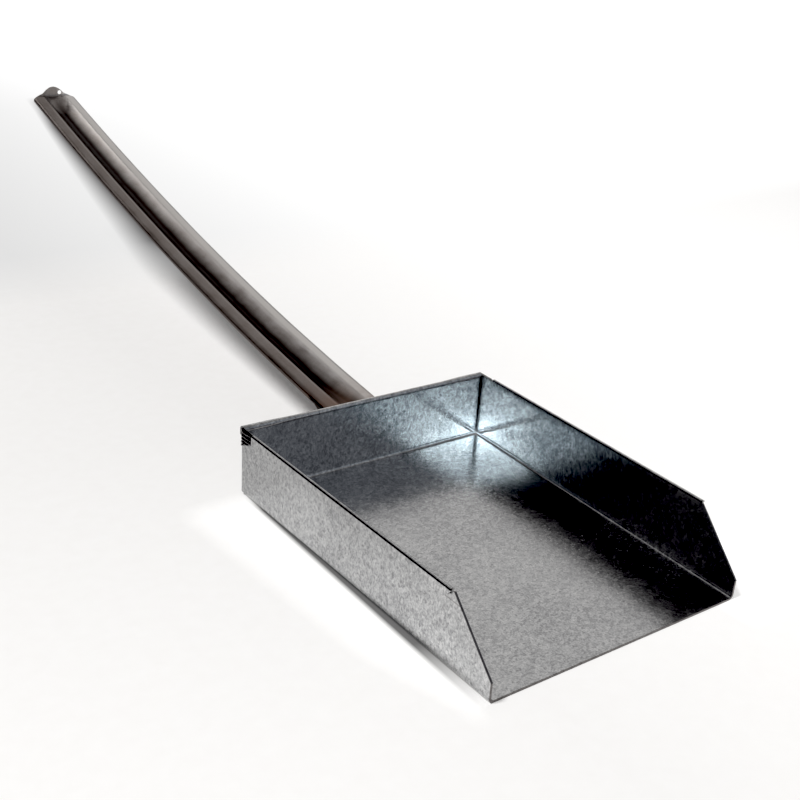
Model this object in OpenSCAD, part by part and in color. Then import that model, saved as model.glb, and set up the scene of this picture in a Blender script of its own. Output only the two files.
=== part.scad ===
// Long-handled sheet-metal dustpan: a folded zinc-coated pan and a pressed steel handle,
// joined by spot welds. X runs across the pan, Y from its mouth towards the handle, Z up.
// The origin is the centre of the pan's flat underside.

/* [Pan] */
// Width of the pan across its back corners
pan_back_w = 122; // [100:1:150]
// Width of the pan across its mouth
pan_mouth_w = 115; // [95:1:145]
// Length of the pan from its mouth to its back wall
pan_len = 154; // [130:1:200]
// Height of the walls
wall_h = 30.5; // [27:0.5:38]
// Height of the side walls at the mouth
mouth_h = 8; // [5:0.5:12]
// Length over which the side walls slope down to the mouth
slope_len = 21.5; // [15:0.5:35]
// Thickness of the pan's sheet
pan_t = 0.8; // [0.7:0.05:0.9]
// Inside radius of the bends between the floor and the walls
bend_r = 1.2; // [0.8:0.1:2]
// Open seam between the back wall and each side wall, inside the folded corner
seam_gap = 0.9; // [0.4:0.1:1.2]

/* [Hems] */
// Depth of the hem folded down outside each side wall
side_hem_h = 4.2; // [3:0.1:6]
// Depth of the hem folded down outside the back wall
back_hem_h = 4.6; // [3:0.1:6]
// Gap inside the fold of a side hem
hem_gap = 0.3; // [0.2:0.05:0.5]
// Length that a side hem leaves bare in front of the back wall
hem_bare = 7.5; // [4:0.5:12]

/* [Handle] */
// Length of the handle behind the back wall
handle_reach = 369; // [300:1:420]
// Height of the handle's tip edge above the floor
tip_z = 93; // [70:1:110]
// Height of the handle's edge where it meets the back wall
root_z = 20.4; // [19:0.1:22]
// Slope of the handle where it leaves the pan, in degrees
root_slope = 5.5; // [3:0.1:8]
// Slope of the handle at its tip, in degrees
tip_slope = 14.9; // [12:0.1:18]
// Width of the handle at the pan
handle_root_w = 27.2; // [25:0.1:29]
// Width of the handle at its tip
handle_tip_w = 26.4; // [25:0.1:29]
// Thickness of the handle's sheet
handle_t = 0.6; // [0.5:0.05:0.7]
// Depth of the groove pressed along the handle
groove_depth = 4.8; // [3:0.1:5.5]
// Half of the width of that groove
groove_half_w = 7; // [5.5:0.1:7.5]
// Height that the handle's strips crown above its edges
crown_h = 1.5; // [0.8:0.1:2]
// Depth of the lip turned down along each edge
lip_h = 1.6; // [1.2:0.1:2.5]

/* [Tip] */
// Height of the rounded end turned up at the tip
turn_up_h = 6.9; // [6:0.1:9]
// Inside radius of the bend that turns it up
turn_up_r = 2; // [1.5:0.1:3]
// Diameter of the hanging hole
hang_hole_d = 2.5; // [2:0.1:3]
// Height of the hanging hole over the tip edge
hang_hole_h = 3.3; // [3.2:0.1:3.6]
// Offset of the hanging hole to the right of the middle
hang_hole_x = 4; // [-4:0.5:4]

/* [Foot] */
// Length of the cheek that deepens each edge towards the wall
cheek_len = 23; // [18:1:30]
// Height of the cheek's lower end above the floor
foot_z = 9.3; // [7:0.1:11]
// Width of the ear that each cheek turns out into
ear_w = 9; // [8:0.1:12]
// Diameter of a spot weld
weld_d = 3.6; // [3:0.1:4]
// Pitch of the two spot welds on an ear
weld_pitch = 5.4; // [5:0.1:6]

/* [Hidden] */

zinc = [0.70, 0.72, 0.73];
steel = [0.42, 0.39, 0.37];
heat_tint = [0.34, 0.29, 0.26];

y_mouth = -pan_len / 2;
y_back = pan_len / 2;
side_angle = atan((pan_back_w - pan_mouth_w) / 2 / pan_len);
side_len = pan_len / cos(side_angle);
bend_ro = bend_r + pan_t;
mouth_slope = (wall_h - mouth_h) / slope_len;

// The folded corner lies in two layers against the back wall, so the back hem clears both
flap_t = 2 * pan_t;
flap_gap = 0.15;
back_hem_gap = flap_t + 2 * flap_gap;
side_fold_r = pan_t + hem_gap / 2;
back_fold_r = pan_t + back_hem_gap / 2;

// The spine is a cubic curve in the plane X = 0, measured from the back wall's outer face
third = handle_reach / 3;
SPINE = [
    [0, root_z],
    [third, root_z + third * tan(root_slope)],
    [2 * third, tip_z - third * tan(tip_slope)],
    [handle_reach, tip_z]
];
ROOT_RUNOUT = 42;
TIP_RUNOUT = 16;
ROOT_GROOVE = 0.35;
TIP_GROOVE = 0.15;
END_LIP = 0.3;
SHOULDER_LOSS = 0.34;
SHOULDER_SHARE = 0.5;

// Radius left on the section's upper corners, and on the ears' corners
edge_r = 1;
ear_r = 2;
// Height that the ears stay below the handle's edge
ear_drop = 0.4;
// Height over which a hem's fold overlaps the wall's top
hem_grip = 0.5;

// Lengths that only have to be longer than what they cut
far = 400;
cut_len = 12;
clear = 1;
eps = 0.01;

// The tip's end is bent up until it stands upright
turn_up_angle = 90 - tip_slope;
bend_rise = turn_up_r * (
    (1 - cos(turn_up_angle)) * cos(tip_slope)
    + sin(turn_up_angle) * sin(tip_slope)
);

// Stations along the spine, and then heights over the tip edge
root_stations = [0, 6, 12, 18, 24, 31, 38];
middle_stations = [for (i = [0:12]) 46 + i * (handle_reach - 46 - 24) / 12];
tip_stations = [for (d = [20, 16, 12, 8, 4, 0]) handle_reach - d];
STATIONS = concat(root_stations, middle_stations, tip_stations);
BEND_STEPS = [0.25, 0.5, 0.75, 1];
RISE_STEPS = [0.12, 0.25, 0.4, 0.55, 0.7, 0.82, 0.91, 0.97, 0.993];

function smooth(x) = let (u = min(1, max(0, x))) u * u * (3 - 2 * u);

function spine_at(t) =
    pow(1 - t, 3) * SPINE[0]
    + 3 * t * pow(1 - t, 2) * SPINE[1]
    + 3 * t * t * (1 - t) * SPINE[2]
    + pow(t, 3) * SPINE[3];

function spine_slope(t) =
    let (
        d = pow(1 - t, 2) * (SPINE[1] - SPINE[0])
            + 2 * t * (1 - t) * (SPINE[2] - SPINE[1])
            + t * t * (SPINE[3] - SPINE[2])
    )
    atan2(d[1], d[0]);

function handle_w(y) = handle_root_w + (handle_tip_w - handle_root_w) * y / handle_reach;

// The groove is shallow at the root, full along the grip and nearly gone at the tip
function groove_at(y) =
    groove_depth
    * (ROOT_GROOVE + (1 - ROOT_GROOVE) * smooth(y / ROOT_RUNOUT))
    * (TIP_GROOVE + (1 - TIP_GROOVE) * smooth((handle_reach - y) / TIP_RUNOUT));

// The lip deepens into a cheek that reaches down to the foot
function lip_at(y) =
    lip_h + (root_z - foot_z - lip_h) * max(0, 1 - y / cheek_len);

// Right half of the section's upper side, from the lip's foot to beside the middle
function half_section(half_w, lip, crown, groove) =
    let (
        groove_w = min(groove_half_w, 0.55 * half_w),
        strip_w = half_w - groove_w,
        edge = min(edge_r, 0.2 * half_w),
        strip_xs = [half_w - 0.25 * edge, half_w - edge, groove_w + 0.45 * strip_w]
    )
    concat(
        [[half_w, -lip], [half_w, -0.2 * min(1, lip)]],
        [for (x = strip_xs) [x, crown * sqrt((half_w - x) / strip_w)]],
        [for (f = [1, 0.8, 0.6, 0.4, 0.2]) [f * groove_w, crown - groove * cos(90 * f)]]
    );

function section(half_w, lip, crown, groove) =
    let (half = half_section(half_w, lip, crown, groove), n = len(half))
    concat(
        half,
        [[0, crown - groove]],
        [for (i = [n - 1:-1:0]) [-half[i][0], half[i][1]]]
    );

function unit(v) = v / norm(v);

// Underside of the section, one sheet's thickness inside the upper side
function underside(top) =
    let (n = len(top))
    [
        for (i = [0:n - 1])
            let (along = unit(top[min(n - 1, i + 1)] - top[max(0, i - 1)]))
            top[i] + handle_t * [-along[1], along[0]]
    ];

// A section's loop of points, stood square to the spine at a place in the plane X = 0
function ring(at, slope, top) =
    let (low = underside(top), n = len(top))
    [
        for (p = concat(top, [for (i = [n - 1:-1:0]) low[i]]))
            [p[0], y_back + at[0] - p[1] * sin(slope), at[1] + p[1] * cos(slope)]
    ];

function spine_ring(y) =
    let (t = y / handle_reach)
    ring(
        spine_at(t),
        spine_slope(t) * min(1, y / cheek_len),
        section(handle_w(y) / 2, lip_at(y), crown_h, groove_at(y))
    );

// Half of the width of the turned-up end, at a share of its height: low shoulders, then a dome
function end_half_w(share) =
    handle_tip_w / 2 * sqrt(1 - share) * (1 - SHOULDER_LOSS * smooth(share / SHOULDER_SHARE));

function bend_ring(share) =
    let (
        turn = share * turn_up_angle,
        fade = 1 - share,
        along = turn_up_r * sin(turn),
        rise = turn_up_r * (1 - cos(turn)),
        at = SPINE[3] + [
            along * cos(tip_slope) - rise * sin(tip_slope),
            along * sin(tip_slope) + rise * cos(tip_slope)
        ],
        half_w = end_half_w(max(0, at[1] - tip_z) / turn_up_h),
        lip = max(END_LIP, lip_h * fade)
    )
    ring(at, tip_slope + turn, section(half_w, lip, crown_h * fade, groove_at(handle_reach) * fade));

function rise_ring(share) =
    let (
        height = bend_rise + share * (turn_up_h - bend_rise),
        y = handle_reach + turn_up_r * (
            sin(turn_up_angle) * cos(tip_slope)
            - (1 - cos(turn_up_angle)) * sin(tip_slope)
        )
    )
    ring([y, tip_z + height], 90, section(end_half_w(height / turn_up_h), END_LIP, 0, 0));

// A closed skin through rings of equal length, with flat ends
module skin(rings) {
    n = len(rings[0]);
    last = len(rings) - 1;
    half = n / 2;
    points = [for (r = rings) each r];
    walls = [
        for (k = [0:last - 1], i = [0:n - 1])
            let (j = (i + 1) % n, a = k * n, b = a + n)
            each [[a + j, b + i, a + i], [b + j, b + i, a + j]]
    ];
    caps = [
        for (i = [0:half - 2])
            let (p = i, q = i + 1, u = n - 1 - i, v = n - 2 - i, e = last * n)
            each [[u, q, p], [u, v, q], [e + u, e + p, e + q], [e + u, e + q, e + v]]
    ];
    polyhedron(points = points, faces = concat(walls, caps));
}

// A quarter of the plane with a rounded corner at the origin, open to the left and upwards
module bend_outline(r) {
    translate([-far, r]) square([far, far]);
    translate([-far, 0]) square([far - r, far]);
    translate([-r, r]) circle(r, $fn = 48);
}

module both_sides() {
    children();
    mirror([1, 0, 0]) children();
}

// Puts children on the right edge: X outwards, Y up and Z back to the mouth from the back wall
module at_right_wall() {
    translate([pan_mouth_w / 2, y_mouth, 0])
        rotate([0, 0, -side_angle])
            translate([0, side_len, 0])
                rotate([90, 0, 0])
                    children();
}

// Puts children on the back edge: X outwards, Y up and Z along the wall, centred
module at_back_wall() {
    translate([0, y_back, 0]) rotate([90, 0, 90]) children();
}

// Everything between the two sides, above the floor and in front of the back wall
module tray_space(inset) {
    r = bend_ro - inset;
    intersection() {
        at_right_wall()
            translate([-inset, inset, -far / 2])
                linear_extrude(2 * far) bend_outline(r);
        mirror([1, 0, 0])
            at_right_wall()
                translate([-inset, inset, -far / 2])
                    linear_extrude(2 * far) bend_outline(r);
        at_back_wall()
            translate([-inset, inset, -far / 2])
                linear_extrude(far) bend_outline(r);
    }
}

// Section of a hem: its fold grips the wall's top, and a strip of it hangs outside
module hem_section(gap, depth) {
    r = pan_t + gap / 2;
    translate([gap / 2, wall_h - r])
        difference() {
            union() {
                circle(r, $fn = 48);
                translate([-r, r - depth]) square([2 * r, depth - r]);
            }
            circle(gap / 2, $fn = 48);
            translate([-gap / 2, -depth]) square([gap, depth]);
            translate([-r - clear, -depth]) square([r + clear, depth - hem_grip]);
            translate([-r - clear, -2 * depth]) square([2 * (r + clear), depth + r]);
        }
}

// The side hem's front end is cut back below the rim, as the slope's cut folds over
module side_hem() {
    slope_top = side_len - slope_len / cos(side_angle);
    fold_only = side_fold_r + hem_grip;
    difference() {
        at_right_wall() linear_extrude(slope_top) hem_section(hem_gap, side_hem_h);
        at_right_wall()
            translate([0, wall_h, slope_top])
                rotate([0, 90, 0])
                    linear_extrude(cut_len)
                        polygon([
                            [-clear, 0],
                            [0, 0],
                            [2 * side_hem_h / mouth_slope, -2 * side_hem_h],
                            [-clear, -2 * side_hem_h]
                        ]);
        at_right_wall()
            translate([hem_gap / 2, 0, -clear])
                cube([cut_len, wall_h - fold_only, hem_bare + clear]);
    }
}

module back_hem() {
    at_back_wall()
        translate([0, 0, -pan_back_w / 2])
            linear_extrude(pan_back_w) hem_section(back_hem_gap, back_hem_h);
}

// The surplus sheet of a corner, folded on its diagonal and laid against the back wall
module corner_flap() {
    top = wall_h - back_fold_r;
    corner_x = pan_back_w / 2;
    translate([0, y_back + flap_gap + flap_t, 0])
        rotate([90, 0, 0])
            linear_extrude(flap_t)
                polygon([[corner_x, bend_ro], [corner_x, top], [corner_x - top + bend_ro, top]]);
    translate([corner_x - pan_t, y_back - pan_t, bend_ro])
        cube([pan_t, pan_t + flap_gap + flap_t, top - bend_ro]);
}

// Everything in front of the mouth and above the slope of the side walls
module mouth_cut() {
    rotate([90, 0, 90])
        translate([0, 0, -far / 2])
            linear_extrude(far)
                polygon([
                    [y_mouth, -clear],
                    [y_mouth, mouth_h],
                    [y_mouth + slope_len, wall_h],
                    [y_mouth + slope_len, far],
                    [y_mouth - far, far],
                    [y_mouth - far, -clear]
                ]);
}

module weld_axes() {
    ear_mid_x = handle_root_w / 2 + ear_w / 2;
    ear_mid_z = (foot_z + root_z) / 2;
    both_sides()
        for (k = [-1, 1])
            translate([ear_mid_x, y_back, ear_mid_z + k * weld_pitch / 2])
                rotate([90, 0, 0])
                    children();
}

module weld_bores() {
    weld_axes() cylinder(d = weld_d, h = cut_len, center = true, $fn = 32);
}

module pan() {
    color(zinc)
        difference() {
            union() {
                difference() {
                    tray_space(0);
                    tray_space(pan_t);
                    // Tops of the walls, just under their hems' folds
                    translate([-far, -far, wall_h - side_fold_r])
                        cube(2 * far);
                    translate([-far, y_back - pan_t, wall_h - back_fold_r])
                        cube(2 * far);
                    mouth_cut();
                    // Open seam beside each corner
                    both_sides()
                        translate([
                            pan_back_w / 2 - pan_t - seam_gap,
                            y_back - pan_t - eps,
                            bend_ro
                        ])
                            cube([seam_gap, pan_t + 2 * eps, wall_h]);
                }
                both_sides() side_hem();
                back_hem();
                both_sides() corner_flap();
            }
            weld_bores();
        }
}

// Each cheek turns out into an ear that lies against the wall
module ear() {
    ear_h = root_z - foot_z - ear_drop;
    translate([handle_root_w / 2, y_back + handle_t, foot_z])
        rotate([90, 0, 0])
            linear_extrude(handle_t)
                union() {
                    translate([-handle_t / 2, 0]) square([handle_t / 2 + ear_w - ear_r, ear_h]);
                    translate([0, ear_r]) square([ear_w, ear_h - 2 * ear_r]);
                    for (z = [ear_r, ear_h - ear_r])
                        translate([ear_w - ear_r, z]) circle(ear_r, $fn = 32);
                }
}

module hang_hole() {
    translate([hang_hole_x, y_back + handle_reach, tip_z + hang_hole_h])
        rotate([90, 0, 0])
            cylinder(d = hang_hole_d, h = cut_len, center = true, $fn = 48);
}

module handle() {
    color(steel)
        difference() {
            union() {
                skin(concat(
                    [for (y = STATIONS) spine_ring(y)],
                    [for (share = BEND_STEPS) bend_ring(share)],
                    [for (share = RISE_STEPS) rise_ring(share)]
                ));
                both_sides() ear();
            }
            hang_hole();
            weld_bores();
        }
}

// Each weld is a nugget through the ear and the wall
module spot_welds() {
    color(heat_tint)
        weld_axes()
            translate([0, 0, -handle_t])
                cylinder(d = weld_d, h = handle_t + pan_t, $fn = 32);
}

pan();
handle();
spot_welds();
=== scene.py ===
"""A long-handled sheet-metal dustpan: folded zinc-coated pan, pressed steel handle, spot welds.

Shapes are in millimetres until a mesh is made. Materials, lamps and camera are in metres. X runs
across the pan, Y from its mouth towards the handle and Z up, as in the CAD frame.
"""
import math

import bmesh
import bpy
import numpy as np
from mathutils import Matrix, Vector, noise


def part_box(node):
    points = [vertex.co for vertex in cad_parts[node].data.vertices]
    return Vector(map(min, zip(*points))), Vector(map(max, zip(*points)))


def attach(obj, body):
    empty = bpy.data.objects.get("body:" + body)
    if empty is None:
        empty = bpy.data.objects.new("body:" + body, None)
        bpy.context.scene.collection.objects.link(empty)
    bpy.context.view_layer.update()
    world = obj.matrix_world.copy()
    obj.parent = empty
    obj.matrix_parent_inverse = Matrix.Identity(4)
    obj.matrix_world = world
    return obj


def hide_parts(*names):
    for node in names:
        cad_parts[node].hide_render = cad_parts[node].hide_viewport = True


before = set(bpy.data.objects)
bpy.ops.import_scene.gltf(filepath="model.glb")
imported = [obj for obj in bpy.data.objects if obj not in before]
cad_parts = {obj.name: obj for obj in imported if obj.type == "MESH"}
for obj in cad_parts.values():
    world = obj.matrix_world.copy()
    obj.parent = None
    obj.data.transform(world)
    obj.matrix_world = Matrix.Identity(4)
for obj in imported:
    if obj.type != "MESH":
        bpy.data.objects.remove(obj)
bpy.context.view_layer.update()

MM = 0.001


# ---------------------------------------------------------------- dimensions

pan_lo, pan_hi = (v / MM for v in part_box("pan"))
handle_lo, handle_hi = (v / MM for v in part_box("handle"))

PAN_T = 0.8            # thickness of the pan's sheet
BEND_R = 1.2           # inside radius of the bends along the floor
SIDE_GAP = 0.3         # gap inside a side hem
BACK_GAP = 1.9         # gap inside the back hem, which clears the corner folds
SIDE_HEM = 4.2         # depth of a side hem
BACK_HEM = 4.6         # depth of the back hem
MOUTH_H = 8.0          # height of the side walls at the mouth
SLOPE_LEN = 21.5       # length of their slope
TAPER = 3.5            # how far each side comes in from back to mouth
CRUMPLE_LEN = 7.5      # last stretch of each side hem, which is crumpled

WALL_H = pan_hi.z      # height of the rim
Y_MOUTH = pan_lo.y     # mouth of the pan
Y_BACK = pan_hi.y - PAN_T - BACK_GAP
PAN_LEN = Y_BACK - Y_MOUTH
BACK_X = 61.0          # outer face of a side wall at the back
MOUTH_X = BACK_X - TAPER  # and at the mouth
BEND_RO = BEND_R + PAN_T  # outside radius of the bends
STEEPNESS = (WALL_H - MOUTH_H) / SLOPE_LEN
SIDE_ROLL = PAN_T + SIDE_GAP / 2  # outside radius of a side hem's roll
BACK_ROLL = PAN_T + BACK_GAP / 2  # and of the back hem's
PRESSED_R = 0.8        # mid-surface radius of the back hem's pressed middle

HANDLE_T = 0.6         # thickness of the handle's sheet
ROOT_W = 27.2          # its width at the back wall
TIP_W = 26.4           # and at the tip
ROOT_Z = 20.4          # height of its edges at the back wall
ROOT_SLOPE = math.radians(5.5)  # how steeply it leaves the back wall
TIP_SLOPE = math.radians(14.9)  # and reaches the tip
TIP_Z = 93.0           # height of its edges at the tip
TURN_UP_H = 6.9        # height of the turned-up end
TURN_UP_R = 2.0        # radius of the bend into it
REACH = 369.0          # handle's length behind the back wall
GROOVE_D = 4.8         # depth of the groove
GROOVE_HALF_W = 7.0    # and half of its width
CROWN_H = 1.5          # rise of the strips beside the groove
LIP_H = 1.6            # height of the turned-down edges
CHEEK_LEN = 23.0       # length of the cheeks under the root
FOOT_Z = handle_lo.z   # lowest edge of cheeks and ears
EAR_W = 9.0            # width of an ear on the back wall
WELD_R = 1.8           # radius of a spot weld
WELD_PITCH = 5.4       # between the two welds of an ear
HOLE_X = 4.0           # the hanging hole, off the middle
HOLE_H = 3.3           # and above the tip's edges
HOLE_R = 1.25


def smooth(x):
    """0 to 1 as x goes from 0 to 1, with a soft start and end."""
    u = min(1.0, max(0.0, x))
    return u * u * (3 - 2 * u)


def wobble(x, y, z, size, seed=0.0):
    """Smooth noise from -1 to 1 whose features are about size mm across."""
    return noise.noise(Vector((x / size + seed, y / size - seed, z / size + 0.37 * seed)))


# ---------------------------------------------------------------- materials

def mix_colours(tree, factor, a, b):
    """Colour a, or b where the factor is 1."""
    node = tree.nodes.new("ShaderNodeMix")
    node.data_type = "RGBA"
    for socket, value in zip((node.inputs[0], node.inputs[6], node.inputs[7]), (factor, a, b)):
        if isinstance(value, tuple):
            socket.default_value = (*value, 1.0)
        else:
            tree.links.new(value, socket)
    return node.outputs[2]


class Graph:
    """Short helpers for one material's node tree. Its places are in metres."""

    def __init__(self, name):
        self.mat = bpy.data.materials.new(name)
        self.mat.use_nodes = True
        self.nodes = self.mat.node_tree.nodes
        self.links = self.mat.node_tree.links
        self.bsdf = self.nodes["Principled BSDF"]
        self.place = self.nodes.new("ShaderNodeTexCoord").outputs["Object"]

    def link(self, source, target):
        self.links.new(source, target)

    def axes(self):
        node = self.nodes.new("ShaderNodeSeparateXYZ")
        self.link(self.place, node.inputs["Vector"])
        return [node.outputs[name] for name in "XYZ"]

    def stretch(self, scale):
        node = self.nodes.new("ShaderNodeMapping")
        node.inputs["Scale"].default_value = scale
        self.link(self.place, node.inputs["Vector"])
        return node.outputs["Vector"]

    def noise(self, scale, detail, rough=0.55, vector=None):
        node = self.nodes.new("ShaderNodeTexNoise")
        node.inputs["Scale"].default_value = scale
        node.inputs["Detail"].default_value = detail
        node.inputs["Roughness"].default_value = rough
        self.link(vector or self.place, node.inputs["Vector"])
        return node.outputs["Fac"]

    def cells(self, scale, vector):
        """A random value for each of many small cells."""
        node = self.nodes.new("ShaderNodeTexVoronoi")
        node.inputs["Scale"].default_value = scale
        self.link(vector, node.inputs["Vector"])
        split = self.nodes.new("ShaderNodeSeparateColor")
        self.link(node.outputs["Color"], split.inputs["Color"])
        return split.outputs["Red"]

    def remap(self, source, low, high, to_low, to_high):
        node = self.nodes.new("ShaderNodeMapRange")
        keys = ("From Min", "From Max", "To Min", "To Max")
        for key, value in zip(keys, (low, high, to_low, to_high)):
            node.inputs[key].default_value = value
        self.link(source, node.inputs["Value"])
        return node.outputs["Result"]

    def fade_in(self, source, low, high, full=1.0):
        """0 up to low, rising to full at high."""
        return self.remap(source, low, high, 0.0, full)

    def fade_out(self, source, low, high, full=1.0):
        """Full up to low, falling to 0 at high."""
        return self.remap(source, low, high, full, 0.0)

    def maths(self, kind, a, b=0.0):
        node = self.nodes.new("ShaderNodeMath")
        node.operation = kind
        for socket, value in zip(node.inputs, (a, b)):
            if isinstance(value, (int, float)):
                socket.default_value = value
            else:
                self.link(value, socket)
        return node.outputs["Value"]

    def chain(self, kind, values):
        result = values[0]
        for value in values[1:]:
            result = self.maths(kind, result, value)
        return result

    def total(self, *terms):
        return self.chain("ADD", terms)

    def product(self, *factors):
        return self.chain("MULTIPLY", factors)

    def largest(self, *values):
        return self.chain("MAXIMUM", values)

    def minus(self, a, b):
        return self.maths("SUBTRACT", a, b)

    def size(self, source):
        """The value without its sign."""
        return self.maths("ABSOLUTE", source)

    def band(self, source, middle, half, soft):
        """1 within half of the middle, fading to 0 over soft."""
        return self.fade_out(self.size(self.minus(source, middle)), half, half + soft)

    def ramp(self, source, stops):
        node = self.nodes.new("ShaderNodeValToRGB")
        ramp = node.color_ramp
        while len(ramp.elements) < len(stops):
            ramp.elements.new(0.5)
        for element, (position, colour) in zip(ramp.elements, stops):
            element.position = position
            element.color = (*colour, 1.0)
        self.link(source, node.inputs["Fac"])
        return node.outputs["Color"]

    def mix(self, factor, a, b):
        return mix_colours(self.mat.node_tree, factor, a, b)

    def bump(self, layers):
        """layers: (height output, strength, distance) from the coarsest to the finest."""
        normal = None
        for height, strength, distance in layers:
            node = self.nodes.new("ShaderNodeBump")
            node.inputs["Strength"].default_value = strength
            node.inputs["Distance"].default_value = distance
            self.link(height, node.inputs["Height"])
            if normal is not None:
                self.link(normal, node.inputs["Normal"])
            normal = node.outputs["Normal"]
        self.link(normal, self.bsdf.inputs["Normal"])

    def metal(self, colour, rough, layers):
        """The finished metal, with its colour, roughness and bump layers."""
        self.link(colour, self.bsdf.inputs["Base Color"])
        self.bsdf.inputs["Metallic"].default_value = 1.0
        self.link(rough, self.bsdf.inputs["Roughness"])
        self.bump(layers)
        return self.mat


# Colours of the metals by their tone, of what lies on them, and of painted shade and highlights on
# them
ZINC_TONES = [
    (0.34, (0.27, 0.272, 0.278)),
    (0.5, (0.48, 0.484, 0.488)),
    (0.66, (0.68, 0.68, 0.68)),
]
STEEL_TONES = [
    (0.30, (0.30, 0.255, 0.232)),
    (0.5, (0.44, 0.407, 0.388)),
    (0.70, (0.57, 0.545, 0.53)),
]
SCORCH_TONES = [
    (0.35, (0.07, 0.058, 0.055)),
    (0.55, (0.19, 0.145, 0.115)),
    (0.75, (0.30, 0.25, 0.23)),
]
ZINC_PIT = (0.13, 0.12, 0.115)
# painted shade, with some dirt, for the crumpled hem ends
CREVICE_SHADE = (0.012, 0.011, 0.012)
# painted shade for the left wall
LEFT_WALL_SHADE = (0.01, 0.01, 0.01)
# painted highlight for the far right corner
CORNER_HIGHLIGHT = (0.80, 0.82, 0.83)
# painted shade with some grime under the rims, and the cut edges' own dull colour
ZINC_SHADE_AND_GRIME = (0.06, 0.048, 0.043)
# painted shade, warm brown, for the handle's left strip
LEFT_STRIP_SHADE = (0.085, 0.062, 0.052)
# painted sheen for the handle's right strip
RIGHT_STRIP_SHEEN = (0.66, 0.64, 0.625)
# painted shade for the handle's turned-down edges
LIP_SHADE = (0.06, 0.048, 0.042)
# painted shade for the handle's groove
GROOVE_SHADE = (0.016, 0.012, 0.010)
HEAT_TINT = (0.20, 0.115, 0.075)
# painted shade, near black, for the handle's cheeks
CHEEK_SHADE = (0.010, 0.008, 0.007)

# Places on the metal, in metres
CRUMPLE_Y = 0.0687       # front of the side hems' crumpled ends
CRUMPLE_X = 0.0605       # their inner side
CRUMPLE_LEAN = 0.42      # how much their lower edge drops on the way back
CRUMPLE_LINE = 0.0546
RIM_Z = 0.0291           # underside of the back rim
RIM_Y = (0.0740, 0.0775)
WALL_FACE = 0.0592       # outer face of a side wall, half-way along the pan
LEFT_WALL = -0.0565      # everything further left belongs to the left wall
FAR_CORNER = (0.0597, 0.0757)
HIGHLIGHT_REACH = 0.042      # how far out of the far corner the painted highlight reaches
CHEEK_Y = 0.092          # middle of the handle's cheeks
CHEEK_HALF_LEN = 0.0115


def crumpled_ends(g, out, y, z, grain):
    """Painted shade, with some dirt, in the crevices of the side hems' crumpled rear ends."""
    leaning = g.total(z, g.product(y, CRUMPLE_LEAN))
    return g.product(
        g.fade_in(y, CRUMPLE_Y, CRUMPLE_Y + 0.0015),
        g.fade_in(leaning, CRUMPLE_LINE, CRUMPLE_LINE + 0.001),
        g.fade_in(out, CRUMPLE_X, CRUMPLE_X + 0.0004),
        g.remap(grain, 0.42, 0.66, 1.0, 0.6),
    )


def shade_left_wall(g, x, y):
    """Painted shade on the left wall, deeper towards the handle."""
    shade_depth = g.remap(y, -0.045, 0.0, 0.05, 0.23)
    return g.product(g.fade_out(x, LEFT_WALL - 0.001, LEFT_WALL), shade_depth)


def corner_highlight(g, x, y, z):
    """Painted highlight: the zinc is lighter towards the far right corner, where the lamp's glow
    gathers.
    """
    away = g.total(
        g.size(g.minus(x, FAR_CORNER[0])),
        g.size(g.minus(y, FAR_CORNER[1])),
        g.product(z, 1.7),
    )
    return g.product(g.maths("POWER", g.fade_out(away, 0.002, HIGHLIGHT_REACH), 1.6), 0.8)


def shade_and_grime_lines(g, out, y, z):
    """Painted shade, with some grime, under the back rim and under each side hem, and the dull cut
    edges of the sheet.
    """
    # painted shade, with some grime, under the back rim
    rim = g.product(
        g.band(z, RIM_Z, 0.0003, 0.0003),
        g.fade_out(y, RIM_Y[1], RIM_Y[1] + 0.0002),
        g.fade_in(y, RIM_Y[0], RIM_Y[0] + 0.0005, full=0.5),
    )
    wall = g.total(WALL_FACE, g.product(y, TAPER / PAN_LEN))
    # painted shade, with some grime, under each side hem's lower edge
    seam = g.product(
        g.band(z, (WALL_H - SIDE_HEM) * MM - 0.0002, 0.00015, 0.0002),
        g.fade_in(g.minus(out, wall), -0.0003, -0.0001, full=0.42),
    )
    slope = g.total(g.product(g.minus(y, Y_MOUTH * MM), STEEPNESS), MOUTH_H * MM)
    # the cut edges' own dull colour
    cut = g.largest(
        g.band(g.minus(z, slope), 0.0, 0.00012, 0.0002),
        g.fade_out(y, (Y_MOUTH + 0.08) * MM, (Y_MOUTH + 0.25) * MM),
    )
    return g.largest(rim, seam, g.product(cut, 0.75))


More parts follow.
